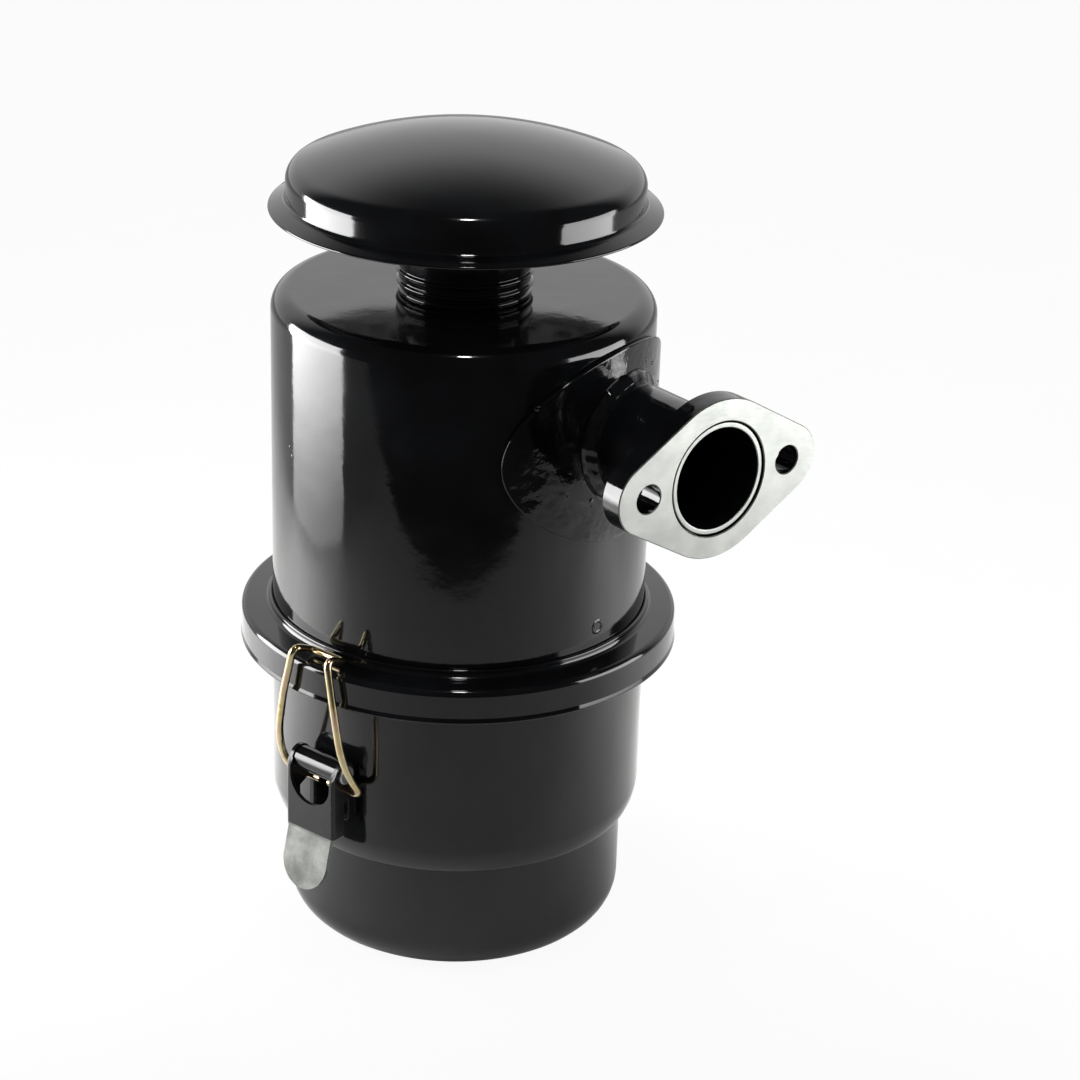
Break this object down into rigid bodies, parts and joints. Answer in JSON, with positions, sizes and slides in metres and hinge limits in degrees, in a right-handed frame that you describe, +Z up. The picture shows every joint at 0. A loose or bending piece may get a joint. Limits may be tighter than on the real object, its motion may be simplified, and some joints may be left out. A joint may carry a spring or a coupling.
{
  "type": "oil bath air filter",
  "caption": "Round oil bath air filter with a domed rain cap, a wire-mesh housing, a side outlet flange and an oil bowl held by over-centre wire latches.",
  "frame": {"origin": "middle of the bowl's flat base", "axes": "+Z up along the filter's axis, +X along the outlet, out of its flange"},
  "size_m": [0.1707, 0.1482, 0.2645],
  "materials": {
    "black_enamel": "gloss baked enamel",
    "latch_enamel": "gloss baked enamel",
    "machined_steel": "bare machined face",
    "yellow_zinc": "yellow passivated zinc plate",
    "zinc_steel": "zinc plated",
    "galvanised_steel": "galvanised sheet",
    "knitted_wire": "knitted steel wire",
    "black_rubber": "matte"
  },
  "bodies": {
    "filter": {"rain_cap": "black_enamel", "cap_inlet_plate": "black_enamel", "cap_collar": "black_enamel", "centre_tube": "black_enamel", "housing_shell": "black_enamel", "housing_ring": "black_enamel", "outlet_doubler": "black_enamel", "outlet_pipe": "black_enamel", "outlet_pipe_weld": "black_enamel", "outlet_flange": "machined_steel", "outlet_flange_weld": "black_enamel", "oil_bowl": "black_enamel", "neck_weld": "black_enamel", "upper_screen": "galvanised_steel", "upper_mesh_pack": "knitted_wire", "middle_screen": "galvanised_steel", "lower_mesh_pack": "knitted_wire", "lower_screen": "galvanised_steel", "screen_retainer": "galvanised_steel", "bowl_gasket": "black_rubber", "oil_baffle": "galvanised_steel", "front_latch_bracket": "black_enamel", "front_latch_pin": "zinc_steel", "rear_latch_bracket": "black_enamel", "rear_latch_pin": "zinc_steel"},
    "front_lever": {"front_latch_lever": "latch_enamel"},
    "front_bail": {"front_latch_bail": "yellow_zinc"},
    "rear_lever": {"rear_latch_lever": "latch_enamel"},
    "rear_bail": {"rear_latch_bail": "yellow_zinc"}
  },
  "joints": [
    {"name": "front_lever_pivot", "type": "hinge", "parent": "filter", "child": "front_lever", "pos_m": [0.01422, -0.06363, 0.0735], "axis": [-0.9759, -0.2181, 0], "range_deg": [0, 130]},
    {"name": "front_bail_pivot", "type": "hinge", "parent": "front_lever", "child": "front_bail", "pos_m": [0.01387, -0.06207, 0.0673], "axis": [-0.9759, -0.2181, 0], "range_deg": [-156, 0]},
    {"name": "rear_lever_pivot", "type": "hinge", "parent": "filter", "child": "rear_lever", "pos_m": [-0.01422, 0.06363, 0.0735], "axis": [0.9759, 0.2181, 0], "range_deg": [0, 130]},
    {"name": "rear_bail_pivot", "type": "hinge", "parent": "rear_lever", "child": "rear_bail", "pos_m": [-0.01387, 0.06207, 0.0673], "axis": [0.9759, 0.2181, 0], "range_deg": [-156, 0]}
  ],
  "couplings": [
    {"joint": "front_bail_pivot", "follows": "front_lever_pivot", "ratio": -1.2},
    {"joint": "rear_bail_pivot", "follows": "rear_lever_pivot", "ratio": -1.2}
  ]
}
